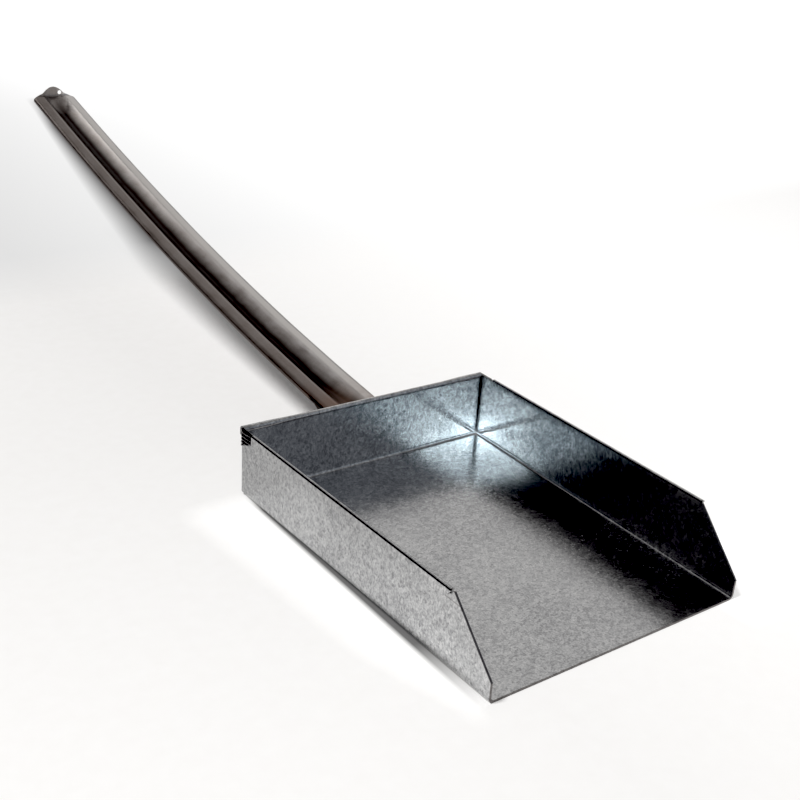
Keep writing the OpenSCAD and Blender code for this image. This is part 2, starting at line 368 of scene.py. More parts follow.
def galvanised_steel():
    """Mill-galvanised sheet: fine zinc grain, faint spangle, dull patches, pits and grime, with
    painted shade in its creases and a painted highlight in its far corner.
    """
    g = Graph("galvanised_steel")
    x, y, z = g.axes()
    out = g.size(x)
    drawn = g.stretch((1.0, 1.0, 0.75))
    grain = g.noise(1400, detail=5, rough=0.62, vector=drawn)
    spangle = g.cells(800, vector=drawn)
    patches = g.noise(24, detail=3)
    pits = g.fade_in(g.noise(1000, detail=2), 0.66, 0.73, full=0.55)
    tone = g.total(g.product(grain, 0.66), g.product(spangle, 0.14), g.product(patches, 0.20))
    colour = g.ramp(tone, ZINC_TONES)
    for factor, coat in (
        (pits, ZINC_PIT),
        # painted shade, with some dirt, in the crumpled hem ends
        (crumpled_ends(g, out, y, z, grain), CREVICE_SHADE),
        # painted shade on the left wall, deeper towards the handle
        (shade_left_wall(g, x, y), LEFT_WALL_SHADE),
        # painted highlight in the far right corner
        (corner_highlight(g, x, y, z), CORNER_HIGHLIGHT),
        # painted shade with some grime under the rims, and the dull cut edges
        (shade_and_grime_lines(g, out, y, z), ZINC_SHADE_AND_GRIME),
    ):
        colour = g.mix(factor, colour, coat)
    # Ash has scoured the floor, the more the further it is from the far corner
    scoured = g.remap(g.total(x, y), 0.10, 0.02, 0.03, 0.08)
    scoured = g.product(scoured, g.fade_out(z, 0.0015, 0.0035))
    rough = g.total(
        g.remap(grain, 0.3, 0.7, 0.16, 0.20),
        g.remap(spangle, 0, 1, -0.02, 0.02),
        g.remap(patches, 0.35, 0.65, -0.02, 0.03),
        g.minus(scoured, 0.03),
    )
    return g.metal(colour, rough, [(patches, 0.03, 0.0004), (grain, 0.17, 0.00004)])


def groove_shade(g, across, y):
    """Painted shade in the groove, thin towards its right side and at the tip."""
    opened = g.maths("POWER", g.fade_in(across, 0.0009, 0.0062), 1.6)
    return g.product(
        g.fade_in(across, -0.0076, -0.0062),
        g.minus(1.0, opened),
        g.remap(y, 0.430, 0.443, 0.99, 0.35),
    )


def shaded_cheeks(g, x, y, z):
    """Painted shade, near black, on the cheeks under the handle's root."""
    edge_z = g.total(ROOT_Z * MM, g.product(g.minus(y, Y_BACK * MM), math.tan(ROOT_SLOPE)))
    return g.product(
        g.band(g.size(x), ROOT_W / 2 * MM, 0.0006, 0.0003),
        g.band(y, CHEEK_Y, CHEEK_HALF_LEN, 0.003),
        g.fade_out(g.minus(z, edge_z), 0.0001, 0.0006, full=0.95),
    )


def bare_steel():
    """Rolled bare steel: warm dark grey, long draw marks, brown heat tint by the welds, with
    painted shade on the left strip, the lips, the groove and the cheeks, and a painted sheen on
    the right strip.
    """
    g = Graph("bare_steel")
    x, y, z = g.axes()
    draw = g.noise(520, detail=6, rough=0.6, vector=g.stretch((1.0, 0.06, 1.0)))
    mottle = g.noise(75, detail=5, rough=0.6)
    grain = g.noise(900, detail=4)
    speckle = g.noise(1300, detail=3, rough=0.7)
    tone = g.total(g.product(draw, 0.35), g.product(mottle, 0.35), g.product(speckle, 0.30))
    across = g.total(x, g.product(g.minus(mottle, 0.5), 0.0012))
    near_weld = g.fade_out(y, Y_BACK * MM, (Y_BACK + 38) * MM)
    colour = g.ramp(tone, STEEL_TONES)
    for factor, coat in (
        # painted shade on the handle's left strip
        (g.fade_out(across, -0.0085, -0.0045, full=0.56), LEFT_STRIP_SHADE),
        # painted sheen on the handle's right strip
        (g.fade_in(across, 0.0045, 0.0065, full=0.6), RIGHT_STRIP_SHEEN),
        # painted shade along the handle's turned-down edges
        (g.fade_in(g.size(across), 0.0112, 0.0128, full=0.72), LIP_SHADE),
        # painted shade in the groove
        (groove_shade(g, across, y), GROOVE_SHADE),
        (g.product(near_weld, g.remap(mottle, 0.36, 0.64, 0.2, 1.0)), HEAT_TINT),
        # painted shade on the cheeks under the root
        (shaded_cheeks(g, x, y, z), CHEEK_SHADE),
    ):
        colour = g.mix(factor, colour, coat)
    rough = g.total(g.remap(draw, 0.3, 0.7, 0.30, 0.42), g.remap(mottle, 0.3, 0.7, -0.04, 0.05))
    layers = [(mottle, 0.14, 0.0005), (draw, 0.16, 0.00012), (grain, 0.10, 0.00006)]
    return g.metal(colour, rough, layers)


def weld_steel():
    """Heat-darkened face of a spot weld."""
    g = Graph("weld_steel")
    scale = g.noise(700, detail=5, rough=0.65)
    rough = g.remap(scale, 0.3, 0.7, 0.35, 0.55)
    return g.metal(g.ramp(scale, SCORCH_TONES), rough, [(scale, 0.4, 0.00015)])


# ---------------------------------------------------------------- mesh helpers

MERGE_DIST = 0.012       # points of a sheet that are closer than this are one
DEGENERATE_DIST = 0.002  # edges shorter than this are dropped
SHARP_ANGLE = 50         # edges sharper than this many degrees are rounded


def new_object(name, bm):
    """Makes a smooth-shaded object of a bmesh, and frees the bmesh."""
    mesh = bpy.data.meshes.new(name)
    bm.to_mesh(mesh)
    bm.free()
    obj = bpy.data.objects.new(name, mesh)
    bpy.context.scene.collection.objects.link(obj)
    for poly in mesh.polygons:
        poly.use_smooth = True
    return obj


class Sheet:
    """Collects grids of points into one skin, and joins the grids where their points meet."""

    def __init__(self):
        self.bm = bmesh.new()

    def grid(self, rows):
        """rows: a list of rows of (x, y, z) in mm. Quads join each row to the next."""
        made = [[self.bm.verts.new(Vector(p) * MM) for p in row] for row in rows]
        for a, b in zip(made, made[1:]):
            for k in range(len(a) - 1):
                self.bm.faces.new((a[k], a[k + 1], b[k + 1], b[k]))

    def finish(self, name, thickness, edge):
        """Thickens the skin, half to each side, and rounds its cut edges."""
        bm = self.bm
        bmesh.ops.remove_doubles(bm, verts=bm.verts, dist=MERGE_DIST * MM)
        bmesh.ops.dissolve_degenerate(bm, edges=bm.edges, dist=DEGENERATE_DIST * MM)
        bmesh.ops.recalc_face_normals(bm, faces=bm.faces)
        obj = new_object(name, bm)
        solid = obj.modifiers.new("thickness", "SOLIDIFY")
        solid.thickness = thickness * MM
        solid.offset = 0.0
        solid.use_even_offset = True
        solid.use_quality_normals = True
        round_edges(obj, edge)
        return obj


def round_edges(obj, width):
    """Takes the sharpness off cut edges, so that they catch the light."""
    bevel = obj.modifiers.new("edge_rounding", "BEVEL")
    bevel.width = width * MM
    bevel.segments = 2
    bevel.limit_method = "ANGLE"
    bevel.angle_limit = math.radians(SHARP_ANGLE)
    bevel.use_clamp_overlap = True
    bevel.harden_normals = False
    split = obj.modifiers.new("normals", "WEIGHTED_NORMAL")
    split.keep_sharp = True


def spaced(low, high, count):
    """Count values from low to high, evenly spaced."""
    return [low + (high - low) * k / (count - 1) for k in range(count)]


def arc(centre, radius, first, step, count):
    """Points (x, y) on a circle, from the first angle on, step degrees apart."""
    angles = [math.radians(first + step * k) for k in range(count)]
    return [(centre[0] + radius * math.cos(a), centre[1] + radius * math.sin(a)) for a in angles]


# ---------------------------------------------------------------- pan

MID = PAN_T / 2
BEND_MID = BEND_RO - MID  # radius of a floor bend's mid-surface
BELT_ROWS = 15            # points up a wall
ARC_STEPS = 6             # quads round a bend
BEND_ANGLES = [math.radians(90) * k / ARC_STEPS for k in range(ARC_STEPS + 1)]
LAYER = PAN_T + 0.1       # pitch of the layers in a corner fold
TURN_R = 1.0              # radius of the turn from a side wall into its corner fold
FLOOR_BACK = Y_BACK - BEND_RO
SLOPE_END = Y_MOUTH + (WALL_H - SIDE_ROLL - MOUTH_H) / STEEPNESS
BACK_TOP = WALL_H - BACK_ROLL
WALL_BULGE = 0.22         # how far handling has bent each side wall outwards
WALL_WAVE = 0.10
BACK_WAVE = 0.16
BACK_DISH = 0.12          # how far the back wall is drawn towards the handle
FLOOR_RISE = 0.16         # height of the floor's oil-canning
FLOOR_WAVE = 0.06         # and of the shorter waves in it
FLOOR_STAR = 0.10         # the little rise in front of each far corner
SEAM_FOOT = 0.2           # width of the open seam beside a far corner at its foot
SEAM_OPENS = 0.3          # and how much wider it is at the rim


def side_x(y):
    """Mid-surface of the right wall at a place along the pan."""
    share = (y - Y_MOUTH) / PAN_LEN
    return MOUTH_X + TAPER * share - MID


def wall_top(y):
    """Top of a side wall under its hem, or its slope near the mouth."""
    return min(WALL_H - SIDE_ROLL, MOUTH_H + (y - Y_MOUTH) * STEEPNESS)


def held(z, rim):
    """How free a wall is to leave its plane: not at its bend, and less by rim near its hem."""
    up = (z - BEND_RO) / (WALL_H - BEND_RO)
    return smooth(up * 3) * (1 - rim * smooth(up * 1.4 - 0.4))


def bow(y, z):
    """How far a side wall stands out from flat: handling leaves long shallow waves."""
    along = (y - Y_MOUTH) / PAN_LEN
    bulge = WALL_BULGE * math.sin(math.pi * along)
    return held(z, rim=0.55) * (bulge + WALL_WAVE * wobble(0, y, z, size=38, seed=3.1))


def back_bow(x, z):
    """The same for the back wall, which also dishes a little where the handle is welded."""
    free = held(z, rim=0.5) * smooth((BACK_X - 4 - abs(x)) / 12)
    wave = BACK_WAVE * wobble(x, 0, z, size=30, seed=9.4)
    return free * (wave - BACK_DISH * math.exp(-(x / 26) ** 2))


def floor_lift(x, y):
    """Oil-canning of the floor, which stays on or above the surface that the pan stands on."""
    side = smooth((side_x(y) - abs(x)) / 16)
    back = smooth((Y_BACK - y) / 16)
    mouth = smooth((y - Y_MOUTH) / 10)
    rise = FLOOR_RISE + FLOOR_RISE * wobble(x, y, 0, size=46, seed=5.5)
    rise += FLOOR_WAVE * wobble(x, y, 0, size=19, seed=1.2)
    star = FLOOR_STAR * math.exp(-((abs(x) - 49) ** 2 + (y - Y_BACK + 13) ** 2) / 38)
    return side * back * mouth * max(0.0, rise) + back * side * star


def corner_path(z):
    """Half of the belt at one height, from the right wall's rear end to the back wall's end.

    The surplus sheet of the corner folds on its diagonal and lies in two layers behind the back
    wall. The back wall's own end rolls back and leaves an open seam beside the right wall.
    """
    outer_y = Y_BACK + 0.15 + LAYER + MID
    inner_y = outer_y - LAYER
    wall_y = Y_BACK - MID
    corner_x = side_x(Y_BACK)
    turn_x = corner_x - TURN_R
    seam = SEAM_FOOT + SEAM_OPENS * smooth((z - BEND_RO) / (BACK_TOP - BEND_RO)) ** 0.8
    roll_r = (inner_y - wall_y) / 2
    end_x = corner_x - MID - seam - roll_r - MID
    diagonal_x = min(end_x - 0.05, turn_x - max(0.0, z - BEND_RO))
    fold_r = LAYER / 2
    path = [(corner_x, outer_y - TURN_R - 0.6)]
    path += arc((turn_x, outer_y - TURN_R), TURN_R, 0, 22.5, 5)
    path += [(turn_x + (diagonal_x - turn_x) * share, outer_y) for share in (0.25, 0.5, 0.75)]
    path += arc((diagonal_x, outer_y - fold_r), fold_r, 90, 30, 7)
    path += [(diagonal_x + (end_x - diagonal_x) * share, inner_y) for share in (0.33, 0.67)]
    path += arc((end_x, inner_y - roll_r), roll_r, 90, -30, 7)
    return path


def belt_height(top, k):
    """Height of a wall's point k, from its bend up to its top."""
    return BEND_RO + (top - BEND_RO) * k / (BELT_ROWS - 1)


def pan_sheet():
    """The whole pan, folded from one sheet."""
    sheet = Sheet()
    ys = spaced(Y_MOUTH, SLOPE_END, 9) + spaced(SLOPE_END, FLOOR_BACK, 42)[1:]
    # Places across the floor, closer together towards its sides
    shares = [math.sin(math.pi / 2 * s) * 0.35 + s * 0.65 for s in spaced(-1, 1, 37)]
    pan_floor(sheet, ys, shares)
    for side in (-1, 1):
        side_wall(sheet, side, ys)
    for side in (-1, 1):
        corner_fold(sheet, side)
    back_wall(sheet, shares)
    for side in (-1, 1):
        side_hem(sheet, side, ys)
        hem_pleats(sheet, side)
    back_hem(sheet)
    for side in (-1, 1):
        floor_corner(sheet, side)
    return sheet.finish("pan_sheet", PAN_T, edge=0.16)


def pan_floor(sheet, ys, shares):
    """The flat floor between its bends."""
    rows = []
    for y in ys:
        half = side_x(y) + MID - BEND_RO
        rows.append([(s * half, y, MID + floor_lift(s * half, y)) for s in shares])
    sheet.grid(rows)


def side_wall(sheet, side, ys):
    """A side wall with its bend, from the floor's edge up to the rim."""
    columns = []
    for y in ys:
        x0 = side_x(y) + MID - BEND_RO
        column = [
            (side * (x0 + BEND_MID * math.sin(a)), y, BEND_RO - BEND_MID * math.cos(a))
            for a in BEND_ANGLES
        ]
        for k in range(1, BELT_ROWS):
            z = belt_height(wall_top(y), k)
            column.append((side * (side_x(y) + bow(y, z)), y, z))
        columns.append(column)
    sheet.grid(columns)


def corner_fold(sheet, side):
    """A corner's folded surplus, from the end of a side wall round to the end of the back wall."""
    rows = []
    for k in range(BELT_ROWS):
        z = belt_height(BACK_TOP, k)
        path_z = z if k else BEND_RO - 0.6
        wall_x = side_x(FLOOR_BACK) + bow(FLOOR_BACK, z)
        row = [(side * wall_x, FLOOR_BACK, belt_height(WALL_H - SIDE_ROLL, k))]
        row += [(side * x, y, path_z) for x, y in corner_path(z)]
        rows.append(row)
    sheet.grid(rows)


def back_wall(sheet, shares):
    """The back wall with its bend, up to its hem."""
    columns = []
    for s in shares:
        x_low = s * (side_x(FLOOR_BACK) + MID - BEND_RO)
        column = [
            (x_low, FLOOR_BACK + BEND_MID * math.sin(a), BEND_RO - BEND_MID * math.cos(a))
            for a in BEND_ANGLES[:-1]
        ]
        for k in range(BELT_ROWS):
            z = belt_height(BACK_TOP, k)
            x = s * corner_path(z)[-1][0]
            column.append((x, Y_BACK - MID - back_bow(x, z), z))
        columns.append(column)
    sheet.grid(columns)


HEM_TOP = WALL_H - SIDE_ROLL     # where a side wall goes over into its hem
HEM_MID = SIDE_ROLL - MID        # mid-surface radius of a side hem
HEM_ARC = math.pi * HEM_MID
HEM_WAVE = 0.09                  # how unevenly a hem's strip is pressed
HEM_OPEN = 0.05                  # and how far it stands open
CRUMPLE_START = Y_BACK - CRUMPLE_LEN


def side_hem(sheet, side, ys):
    """A side hem, pressed flat, and cut back on a slant at its front end."""
    full = HEM_ARC + SIDE_HEM - SIDE_ROLL
    front = [SLOPE_END + d for d in (0.5, 1.0, 1.8, 2.6, 3.4, 4.2)]
    stations = sorted(set([y for y in ys if SLOPE_END <= y <= CRUMPLE_START] + front))
    columns = []
    for y in stations:
        limit = min(full, HEM_ARC / 2 + (y - SLOPE_END) * STEEPNESS)
        wave = HEM_WAVE * wobble(0, y, 0, size=11, seed=4.2 + side) + HEM_OPEN
        base = side_x(y) + bow(y, HEM_TOP)
        column = []
        for run in spaced(0, limit, 15):
            down = run - HEM_ARC
            if down < 0:
                a = run / HEM_MID
                out, z = HEM_MID - HEM_MID * math.cos(a), HEM_TOP + HEM_MID * math.sin(a)
            else:
                out, z = 2 * HEM_MID + wave * smooth(down / 3), HEM_TOP - down
            column.append((side * (base + out), y, z))
        columns.append(column)
    sheet.grid(columns)


PLEAT_PITCH = 1.55
PLEAT_HOLLOW = 0.30              # how far the pleats' hollows stand out
PLEAT_D = 0.62                   # and how much further their crests do
PLEAT_MAX = 1.0


def hem_pleats(sheet, side):
    """Beside the corner the hem's surplus sheet is crumpled into a few small pleats."""
    last = 14
    columns = []
    for j, y in enumerate(spaced(CRUMPLE_START + 0.6, Y_BACK + 0.4, last + 1)):
        wall_y = min(y, Y_BACK)
        base = side_x(wall_y) + bow(wall_y, HEM_TOP)
        ends = smooth(j / 2.5) * smooth((last - j) / 2.0)
        shift = 0.20 * wobble(0, y, 0, size=2.4, seed=5.0 + side)
        column = []
        for down in spaced(0, 4.4 + 3.0 * j / last, 41):
            pleat = 0.5 - 0.5 * math.cos(2 * math.pi * (down / PLEAT_PITCH + shift))
            out = PLEAT_HOLLOW + PLEAT_D * pleat * (0.55 + 0.45 * ends)
            out += 0.16 * wobble(0, y, down, size=1.3, seed=8.0 + side)
            x = base + min(out, PLEAT_MAX) * smooth(down / 0.35)
            z = HEM_TOP + HEM_MID * math.exp(-down / 0.5) - down * 0.97
            column.append((side * x, y, z))
        columns.append(column)
    sheet.grid(columns)


def roll_points(mid_r, top_z, depth):
    """A hem's section from the wall's top: (distance out from the wall's mid-surface, height)."""
    points = []
    for a in spaced(0, math.pi, 11):
        points.append((mid_r - mid_r * math.cos(a), top_z + mid_r * math.sin(a)))
    for z in spaced(top_z, WALL_H - depth + MID, 5)[1:]:
        points.append((2 * mid_r, z))
    return points


def back_hem(sheet):
    """The back hem, pressed close in its middle and left open over the corner folds."""
    wall_y = Y_BACK - MID
    columns = []
    for x in spaced(-BACK_X + 0.2, BACK_X - 0.2, 61):
        mid_r = PRESSED_R + (BACK_ROLL - MID - PRESSED_R) * smooth((abs(x) - 36) / 16)
        sag = 0.08 * wobble(x, 0, 0, size=14, seed=2.7)
        depth = BACK_HEM + 0.15 * wobble(x, 0, 0, size=20, seed=6.6)
        column = [(x, wall_y, BACK_TOP)]
        for out, z in roll_points(mid_r, WALL_H - MID - mid_r, depth):
            column.append((x, wall_y + out, z + min(0, sag * smooth(z - WALL_H + 2))))
        columns.append(column)
    sheet.grid(columns)


def floor_corner(sheet, side):
    """The rounded bottom corner where the two bends meet."""
    centre_x = side_x(FLOOR_BACK) + MID - BEND_RO
    sheet.grid([
        [
            (
                side * (centre_x + BEND_MID * math.sin(a) * math.cos(b)),
                FLOOR_BACK + BEND_MID * math.sin(a) * math.sin(b),
                BEND_RO - BEND_MID * math.cos(a),
            )
            for b in BEND_ANGLES
        ]
        for a in BEND_ANGLES
    ])


# ---------------------------------------------------------------- handle

THIRD = REACH / 3
SPINE = [
    (0.0, ROOT_Z),
    (THIRD, ROOT_Z + THIRD * math.tan(ROOT_SLOPE)),
    (2 * THIRD, TIP_Z - THIRD * math.tan(TIP_SLOPE)),
    (REACH, TIP_Z),
]
SECTION_POINTS = 64       # points across the handle's upper side
ROOT_LEN = 48             # stretch behind the back wall with closer stations
TIP_LEN = 20              # and the same before the tip
HANDLE_WAVE = 0.10        # how uneven the strip is, across it and in height
THIN_LIP = 0.02           # what is left of the lips on the flat plate of the turned-up end


def spine_at(t):
    """(distance behind the back wall, height, slope) of the line between the handle's edges."""
    weights = ((1 - t) ** 3, 3 * t * (1 - t) ** 2, 3 * t * t * (1 - t), t ** 3)
    y, z = (sum(w * p[i] for w, p in zip(weights, SPINE)) for i in (0, 1))
    steps = ((1 - t) ** 2, 2 * t * (1 - t), t * t)
    dy, dz = (sum(w * (b[i] - a[i]) for w, a, b in zip(steps, SPINE, SPINE[1:])) for i in (0, 1))
    return y, z, math.atan2(dz, dy)


def groove_at(y):
    """Depth of the groove, which runs out at the root and at the tip."""
    root = 0.35 + 0.65 * smooth(y / 42)
    tip = 0.15 + 0.85 * smooth((REACH - y) / 16)
    return GROOVE_D * root * tip


def lip_at(y):
    """Height of the turned-down edge, which deepens into the cheek at the root."""
    return LIP_H + (ROOT_Z - FOOT_Z - LIP_H) * max(0.0, 1 - y / CHEEK_LEN)


def section(half_w, lip, crown, groove):
    """The section's upper side from the right lip's foot to the left one, corners rounded."""
    groove_w = min(GROOVE_HALF_W, 0.55 * half_w)
    strip_w = half_w - groove_w
    corners = [
        (half_w, -lip),
        (half_w, -0.55 * min(1.0, lip)),
        (half_w - 0.45, 0.35 * min(1, crown)),
    ]
    for share in (0.85, 0.7, 0.5, 0.3, 0.12):
        x = groove_w + share * strip_w
        corners.append((x, crown * math.sqrt((half_w - x) / strip_w)))
    for f in spaced(1, 0, 13):
        corners.append((f * groove_w, crown - groove * math.cos(math.pi / 2 * f)))
    line = corners + [(-x, z) for x, z in reversed(corners[:-1])]
    return resample(round_line(resample(line, count=220), passes=5), SECTION_POINTS)


def resample(line, count):
    """The same line with count points, evenly spaced along it."""
    pts = np.array(line, float)
    run = np.concatenate([[0], np.cumsum(np.linalg.norm(np.diff(pts, axis=0), axis=1))])
    at = np.linspace(0, run[-1], count)
    return np.stack([np.interp(at, run, pts[:, i]) for i in (0, 1)], axis=1)


def round_line(pts, passes):
    """Rounds a line's corners, and leaves its two ends where they are."""
    pts = pts.copy()
    for _ in range(passes):
        pts[1:-1] = 0.25 * pts[:-2] + 0.5 * pts[1:-1] + 0.25 * pts[2:]
    return pts


def end_half_w(z):
    """Half of the turned-up end's width at a height: low shoulders, then a dome."""
    share = (z - TIP_Z) / TURN_UP_H
    return TIP_W / 2 * math.sqrt(max(0.0, 1 - share)) * (1 - 0.34 * smooth(share / 0.5))


def underside(pts, flat):
    """The line one sheet's thickness below, straight down where the section is a flat plate."""
    along = np.gradient(pts, axis=0)
    normal = np.stack([-along[:, 1], along[:, 0]], axis=1)
    normal /= np.linalg.norm(normal, axis=1)[:, None]
    normal = (1 - flat) * normal + flat * np.array([0.0, -1.0])
    return pts + HANDLE_T * normal / np.linalg.norm(normal, axis=1)[:, None]


def handle_loop(y, z, tilt, pts, flat=0.0):
    """A closed loop round the sheet at one station: its upper side, then its underside back."""
    c, s = math.cos(tilt), math.sin(tilt)
    loop = list(pts) + list(underside(pts, flat))[::-1]
    return [(x, Y_BACK + y - h * s, z + h * c) for x, h in loop]


def strip_loops():
    """Round the handle's strip, from the back wall to where its end turns up."""
    far = REACH - TIP_LEN
    stations = spaced(0.3, ROOT_LEN, 26) + spaced(ROOT_LEN, far, 92)[1:]
    stations += spaced(far, REACH, 13)[1:]
    loops = []
    for d in stations:
        y, z, tilt = spine_at(d / REACH)
        half_w = (ROOT_W + (TIP_W - ROOT_W) * d / REACH) / 2
        pts = section(half_w, lip_at(d), CROWN_H, groove_at(d))
        loop = []
        for px, py, pz in handle_loop(y, z, tilt * min(1.0, d / CHEEK_LEN), pts):
            sway = HANDLE_WAVE * wobble(0, py, 0, size=60, seed=2.0)
            wave = HANDLE_WAVE * wobble(px, py, 0, size=34, seed=7.7) * smooth(d / 30)
            loop.append((px + sway, py, pz + wave))
        loops.append(loop)
    return loops


def end_loops():
    """Round the rounded end, which is bent up until it stands upright."""
    turn = math.pi / 2 - TIP_SLOPE
    groove_end = groove_at(REACH)
    loops = []
    for share in spaced(0, 1, 11)[1:]:
        a = share * turn
        along, rise = TURN_UP_R * math.sin(a), TURN_UP_R * (1 - math.cos(a))
        y = REACH + along * math.cos(TIP_SLOPE) - rise * math.sin(TIP_SLOPE)
        z = TIP_Z + along * math.sin(TIP_SLOPE) + rise * math.cos(TIP_SLOPE)
        fade = 1 - share
        pts = section(end_half_w(z), LIP_H * fade + THIN_LIP, CROWN_H * fade, groove_end * fade)
        loops.append(handle_loop(y, z, TIP_SLOPE + a, pts, share))
    bend_z = z
    for share in [math.sin(math.pi / 2 * k / 24) for k in range(1, 24)]:
        z = bend_z + share * (TIP_Z + TURN_UP_H - bend_z)
        pts = section(max(0.3, end_half_w(z)), THIN_LIP, crown=0.0, groove=0.0)
        loops.append(handle_loop(y, z, math.pi / 2, pts, 1.0))
    return loops


def join_rings(bm, rings):
    """Quads between each closed ring of vertices and the next."""
    count = len(rings[0])
    for a, b in zip(rings, rings[1:]):
        for k in range(count):
            j = (k + 1) % count
            bm.faces.new((a[k], a[j], b[j], b[k]))


def handle_sheet():
    """The handle's pressing, but for its ears."""
    bm = bmesh.new()
    loops = [[bm.verts.new(Vector(p) * MM) for p in loop] for loop in strip_loops() + end_loops()]
    join_rings(bm, loops)
    n = len(loops[0])
    for loop in (loops[0], loops[-1]):
        for k in range(n // 2 - 1):
            bm.faces.new((loop[k], loop[k + 1], loop[n - 2 - k], loop[n - 1 - k]))
    bmesh.ops.recalc_face_normals(bm, faces=bm.faces)
    handle = new_object("handle_pressing", bm)
    round_edges(handle, 0.1)
    drill(handle, (HOLE_X, handle_hi.y, TIP_Z + HOLE_H), HOLE_R)
    return handle


CUTTER_LEN = 12


def drill(obj, centre, radius):
    """Cuts a round hole along Y through a sheet, and keeps the result as the mesh."""
    cutter_mesh = bpy.data.meshes.new("cutter")
    bm = bmesh.new()
    turn = Matrix.Rotation(math.radians(90), 4, "X")
    place = Matrix.Translation(Vector(centre) * MM) @ turn
    r = radius * MM
    bmesh.ops.create_cone(bm, cap_ends=True, segments=40, radius1=r, radius2=r,
                          depth=CUTTER_LEN * MM, matrix=place)
    bm.to_mesh(cutter_mesh)
    bm.free()
    cutter = bpy.data.objects.new("cutter", cutter_mesh)
    bpy.context.scene.collection.objects.link(cutter)
    cut = obj.modifiers.new("hole", "BOOLEAN")
    cut.operation = "DIFFERENCE"
    cut.solver = "EXACT"
    cut.object = cutter
    obj.modifiers.move(obj.modifiers.find("hole"), 0)
    bpy.context.view_layer.update()
    graph = bpy.context.evaluated_depsgraph_get()
    done = bpy.data.meshes.new_from_object(obj.evaluated_get(graph))
    obj.modifiers.clear()
    obj.data = done
    bpy.data.objects.remove(cutter)
    bpy.data.meshes.remove(cutter_mesh)


def weld_places():
    """(x, height) of each spot weld on the back wall."""
    x = ROOT_W / 2 + EAR_W / 2
    middle = (FOOT_Z + ROOT_Z) / 2
    return [(side * x, middle + k * WELD_PITCH / 2) for side in (-1, 1) for k in (-1, 1)]


EAR_BEND_R = 0.9
EAR_CORNER_R = 2.0
DIMPLE_D = 0.14


def dimple(x, z):
    """How deep the welds have pressed an ear at a place on it, with a low ridge round each."""
    dent = 0.0
    for weld_x, weld_z in weld_places():
        gap = math.hypot(x - weld_x, z - weld_z)
        dent = max(dent, smooth((WELD_R + 0.5 - gap) / 0.9))
        dent -= 0.25 * math.exp(-((gap - WELD_R - 0.8) / 0.35) ** 2)
    return DIMPLE_D * dent


def ear_sheet(side):
    """An ear: a leg inside the cheek, a tight bend, and a tab with the dimples of two welds."""
    sheet = Sheet()
    mid = HANDLE_T / 2
    leg_x = ROOT_W / 2 - mid
    tab_y = Y_BACK + mid + 0.02
    end_x = ROOT_W / 2 + EAR_W
    path = [(leg_x, tab_y + EAR_BEND_R + d) for d in (4.0, 2.6, 1.3)]
    path += arc((leg_x + EAR_BEND_R, tab_y + EAR_BEND_R), EAR_BEND_R, 180, 15, 7)
    path += [(x, tab_y) for x in spaced(leg_x + EAR_BEND_R, end_x, 30)[1:]]
    top = ROOT_Z - 0.4
    columns = []
    for x, y in path:
        past = max(0.0, x - (end_x - EAR_CORNER_R))
        inset = EAR_CORNER_R - math.sqrt(max(0.0, EAR_CORNER_R ** 2 - past ** 2))
        on_tab = y < tab_y + 0.01
        columns.append([
            (side * x, y - dimple(side * x, z) if on_tab else y, z)
            for z in spaced(FOOT_Z + inset, top - inset, 34)
        ])
    sheet.grid(columns)
    name = "handle_ear_" + ("left" if side < 0 else "right")
    return sheet.finish(name, HANDLE_T - 0.04, edge=0.1)


# (share of the weld's radius, height) of the rings of a weld's lens, and where its height starts
LENS = [(0.98, -0.10), (0.9, 0.015), (0.6, 0.05), (0.3, 0.065)]
LENS_Y = HANDLE_T - 0.13


def weld_marks():
    """The scorched lens at the bottom of each dimple."""
    bm = bmesh.new()
    for x, z in weld_places():
        rings = []
        for share, out in LENS:
            ring = []
            for k in range(32):
                a = 2 * math.pi * k / 32
                c, s = math.cos(a), math.sin(a)
                r = WELD_R * share * (1 + 0.025 * wobble(c, s, x, size=0.7, seed=z))
                point = Vector((x + r * c, Y_BACK + LENS_Y + out, z + r * s))
                ring.append(bm.verts.new(point * MM))
            rings.append(ring)
        join_rings(bm, rings)
        bm.faces.new(rings[-1])
        bm.faces.new(list(reversed(rings[0])))
    bmesh.ops.recalc_face_normals(bm, faces=bm.faces)
    return new_object("weld_marks", bm)


# ---------------------------------------------------------------- stage, light and camera

FLOOR_HALF = 6.0         # half of the paper's width, in metres
LEFT_FOOT = 0.0593       # how far left of the middle the left wall stands, in metres
PAPER_TONES = [(0.3, (0.868, 0.858, 0.846)), (0.7, (0.882, 0.874, 0.864))]
FOOT_SHADE = (0.05, 0.05, 0.05)
HANDLE_SHADE = (0.02, 0.016, 0.016)
# The right edge of the handle's shade, in metres: x = EDGE_X + EDGE_SLOPE d + EDGE_CURVE d d,
# where d is the distance past EDGE_Y
EDGE_X = 0.0531
EDGE_Y = 0.4244
EDGE_SLOPE = 0.173
EDGE_CURVE = 0.026
PAINTED_FROM = (0.33, 0.42)      # where the painted shade takes over from the lamps' shadow


def foot_shade(g, out, y):
    """The shade right under the bend of the left wall."""
    return g.product(
        g.fade_out(out, 0.0005, 0.0026, full=0.9),
        g.fade_in(out, -0.009, -0.006),
        g.product(g.fade_out(y, 0.062, 0.074), g.fade_in(y, -0.076, -0.04)),
    )


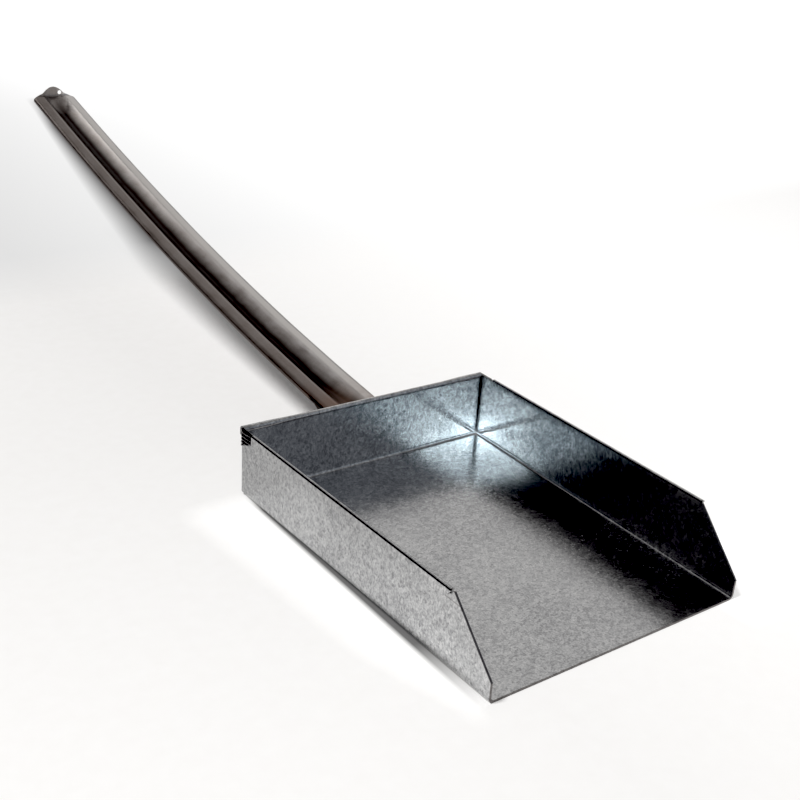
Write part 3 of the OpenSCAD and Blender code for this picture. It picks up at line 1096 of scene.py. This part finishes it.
def far_shade(g, x, y, far):
    """The far half of the handle's soft shadow, which paper rising behind it would catch."""
    past = g.minus(y, EDGE_Y)
    edge = g.total(g.product(past, g.total(g.product(past, EDGE_CURVE), EDGE_SLOPE)), EDGE_X)
    off = g.minus(edge, x)
    width = g.remap(y, 0.34, 0.88, 0.0232, 0.0074)
    return g.product(
        g.fade_out(g.maths("DIVIDE", off, width), 0.0, 1.0, full=0.8),
        g.fade_in(off, -0.011, -0.002),
        g.remap(y, 0.80, 0.93, 1.0, 0.35),
        far,
        g.fade_out(y, 0.93, 0.96),
    )


def paper_glow(g, x, y, out):
    """Painted light: glow from paper that rises in front and on the right, light thrown down by
    the left wall, and light that washes out the pan's shadow beside the front of its right wall.
    """
    front = g.remap(y, 0.14, -0.08, 0.0, 0.06)
    right = g.fade_in(x, -0.04, 0.28, full=0.32)
    beyond = g.fade_in(g.total(x, y), 1.0, 2.8, full=0.25)
    reach = g.remap(y, -0.075, -0.035, 0.002, 0.014)
    reach = g.total(reach, g.fade_in(y, -0.035, 0.07, full=0.011))
    thrown = g.product(
        g.fade_out(g.minus(out, reach), -0.004, 0.008, full=0.16),
        g.fade_out(y, 0.066, 0.08),
        g.fade_in(y, -0.085, -0.076),
        g.fade_in(out, 0.0005, 0.0035),
    )
    # painted light that washes out the pan's shadow beside the front of its right wall
    lit = g.product(g.band(x, 0.072, 0.012, 0.012), g.band(y, -0.055, 0.028, 0.012), 0.35)
    return g.total(front, right, beyond, thrown, lit)


def floor_paper():
    """White paper with painted shadows and painted light, for what paper rising round the pan
    would cast and throw.
    """
    g = Graph("floor_paper")
    x, y, _ = g.axes()
    out = g.product(g.total(x, LEFT_FOOT), -1.0)
    colour = g.ramp(g.noise(160, detail=3), PAPER_TONES)
    colour = g.mix(foot_shade(g, out, y), colour, FOOT_SHADE)
    # Far behind the pan the paper glows by itself, so that only the painted shade shows there
    far = g.fade_in(y, *PAINTED_FROM)
    shade = far_shade(g, x, y, far)
    colour = g.mix(g.product(far, 0.9), colour, (0.0, 0.0, 0.0))
    colour = g.mix(shade, colour, HANDLE_SHADE)
    glow = g.total(paper_glow(g, x, y, out), g.product(far, 0.68))
    g.link(colour, g.bsdf.inputs["Base Color"])
    g.bsdf.inputs["Roughness"].default_value = 0.9
    g.bsdf.inputs["Specular IOR Level"].default_value = 0.1
    g.link(g.product(glow, g.minus(1.0, shade)), g.bsdf.inputs["Emission Strength"])
    g.bsdf.inputs["Emission Color"].default_value = (1.0, 1.0, 1.0, 1.0)
    return g.mat


def make_floor():
    """The sheet of paper that the pan stands on, which belongs to the stage."""
    bm = bmesh.new()
    corners = [(-1, -1), (1, -1), (1, 1), (-1, 1)]
    bm.faces.new([bm.verts.new((x * FLOOR_HALF, y * FLOOR_HALF, 0.0)) for x, y in corners])
    mesh = bpy.data.meshes.new("floor")
    bm.to_mesh(mesh)
    bm.free()
    floor = bpy.data.objects.new("floor", mesh)
    bpy.context.scene.collection.objects.link(floor)
    mesh.materials.append(floor_paper())
    return floor


def direction(azimuth, elevation):
    """Azimuth in degrees from +Y towards +X, elevation above the floor."""
    a, e = math.radians(azimuth), math.radians(elevation)
    return Vector((math.sin(a) * math.cos(e), math.cos(a) * math.cos(e), math.sin(e)))


# (azimuth, elevation, full within, gone beyond, colour) of what each side shows the metal
STUDIO = [
    (44, 22, 22, 37, (0.76, 0.75, 0.74)),
    (-48, 25, 27, 37, (0.003, 0.003, 0.006)),
    (140, 22, 28, 46, (0.35, 0.37, 0.40)),
    (-140, 25, 7, 24, (0.50, 0.66, 0.80)),
]
OVERHEAD = (0.37, 0.365, 0.36)
AMBIENT = (0.20, 0.20, 0.20)
WHITE = (1.0, 1.0, 1.0)


def make_world():
    """Pale surroundings, in which the metal also mirrors a studio of bright and dark sides."""
    world = bpy.data.worlds.new("studio")
    bpy.context.scene.world = world
    world.use_nodes = True
    world.cycles.sampling_method = "NONE"
    tree = world.node_tree
    nodes, links = tree.nodes, tree.links
    coords = nodes.new("ShaderNodeTexCoord")
    mirrored = OVERHEAD
    for azimuth, elevation, inner, outer, colour in STUDIO:
        dot = nodes.new("ShaderNodeVectorMath")
        dot.operation = "DOT_PRODUCT"
        dot.inputs[1].default_value = direction(azimuth, elevation)
        links.new(coords.outputs["Generated"], dot.inputs[0])
        near = nodes.new("ShaderNodeMapRange")
        near.interpolation_type = "SMOOTHSTEP"
        near.inputs["From Min"].default_value = math.cos(math.radians(outer))
        near.inputs["From Max"].default_value = math.cos(math.radians(inner))
        links.new(dot.outputs["Value"], near.inputs["Value"])
        mirrored = mix_colours(tree, near.outputs["Result"], mirrored, colour)
    rays = nodes.new("ShaderNodeLightPath")
    unmirrored = mix_colours(tree, rays.outputs["Is Camera Ray"], AMBIENT, WHITE)
    seen = mix_colours(tree, rays.outputs["Is Glossy Ray"], unmirrored, mirrored)
    links.new(seen, nodes["Background"].inputs["Color"])


def area_light(name, aim, azimuth, elevation, distance, size, watts, colour=WHITE, mirrored=True):
    """A round lamp that shines at aim from the direction and distance given, in metres."""
    light = bpy.data.lights.new(name, "AREA")
    light.shape = "DISK"
    light.size = size
    light.energy = watts
    light.color = colour
    obj = bpy.data.objects.new(name, light)
    obj.location = Vector(aim) + direction(azimuth, elevation) * distance
    obj.rotation_euler = (Vector(aim) - obj.location).to_track_quat("-Z", "Y").to_euler()
    bpy.context.scene.collection.objects.link(obj)
    obj.visible_glossy = mirrored
    return obj


def light_only(light, pieces):
    """This light falls on these pieces alone."""
    group = bpy.data.collections.new(light.name + "_pieces")
    for piece in pieces:
        group.objects.link(piece)
    light.light_linking.receiver_collection = group


def make_lights(pan, grip, floor):
    """A soft window to the left, with a glint of its own in the metal.

    A small lamp in front is mirrored only in the pan, and a card only in the handle. A fill in
    front lights the paper alone.
    """
    window = dict(aim=(0.0, 0.15, 0.0), azimuth=-90, elevation=58, distance=3.2, size=0.9)
    area_light("window", watts=53, mirrored=False, **window)
    area_light("window_glint", watts=34, **window)
    lamp = area_light("lamp", aim=(0.061, 0.077, 0.0), azimuth=-140, elevation=27, distance=0.66,
                      size=0.09, watts=0.26, colour=(0.84, 0.96, 1.0))
    card = area_light("card", aim=(0.0, 0.26, 0.05), azimuth=-14, elevation=27, distance=1.6,
                      size=0.72, watts=3.4, colour=(1.0, 0.98, 0.96))
    fill = area_light("fill", aim=(0.0, 0.28, 0.04), azimuth=-151, elevation=27, distance=2.2,
                      size=0.26, watts=7.0, colour=(1.0, 0.97, 0.96), mirrored=False)
    for light, pieces in ((lamp, [pan]), (card, grip), (fill, [floor])):
        light_only(light, pieces)
    for light in (lamp, card):
        light.visible_diffuse = False


def make_camera():
    """The photo's view, fitted to the pan's corners and to both edges of the handle."""
    azimuth, elevation, roll = (math.radians(v) for v in (-36.773, 24.066, 3.869))
    distance, lens = 0.5597, 51.348
    target = Vector((0.0509, 0.1244, 0.0))
    back = Vector((
        math.sin(azimuth) * math.cos(elevation),
        -math.cos(azimuth) * math.cos(elevation),
        math.sin(elevation),
    ))
    level = (-back).cross(Vector((0, 0, 1))).normalized()
    upright = level.cross(-back)
    right = math.cos(roll) * level + math.sin(roll) * upright
    up = -math.sin(roll) * level + math.cos(roll) * upright
    data = bpy.data.cameras.new("camera")
    data.lens = lens
    data.sensor_width = 36
    data.clip_start = 0.01
    camera = bpy.data.objects.new("camera", data)
    pose = Matrix((right, up, back)).transposed().to_4x4()
    pose.translation = target + back * distance
    camera.matrix_world = pose
    bpy.context.scene.collection.objects.link(camera)
    bpy.context.scene.camera = camera


BLACK_LEVEL = (0.024, 0.025, 0.024)


def set_view():
    """Sinks the darkest tones to black, as in the photo."""
    view = bpy.context.scene.view_settings
    view.view_transform = "Standard"
    view.use_curve_mapping = True
    view.curve_mapping.black_level = BLACK_LEVEL
    view.curve_mapping.update()


# ---------------------------------------------------------------- assembly

def place(piece, material, slot_name, *nodes):
    """Dresses a piece, and hangs it on the body in place of the CAD nodes named."""
    piece.data.materials.clear()
    piece.data.materials.append(material)
    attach(piece, "root")
    if nodes:
        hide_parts(*nodes)
    return piece


zinc = galvanised_steel()
steel = bare_steel()
pan = place(pan_sheet(), zinc, "galvanised_steel", "pan")
grip = [place(handle_sheet(), steel, "bare_steel", "handle")]
for side in (-1, 1):
    grip.append(place(ear_sheet(side), steel, "bare_steel"))
grip.append(place(weld_marks(), weld_steel(), "weld_steel", "spot_welds"))

floor = make_floor()
make_world()
make_lights(pan, grip, floor)
make_camera()
set_view()
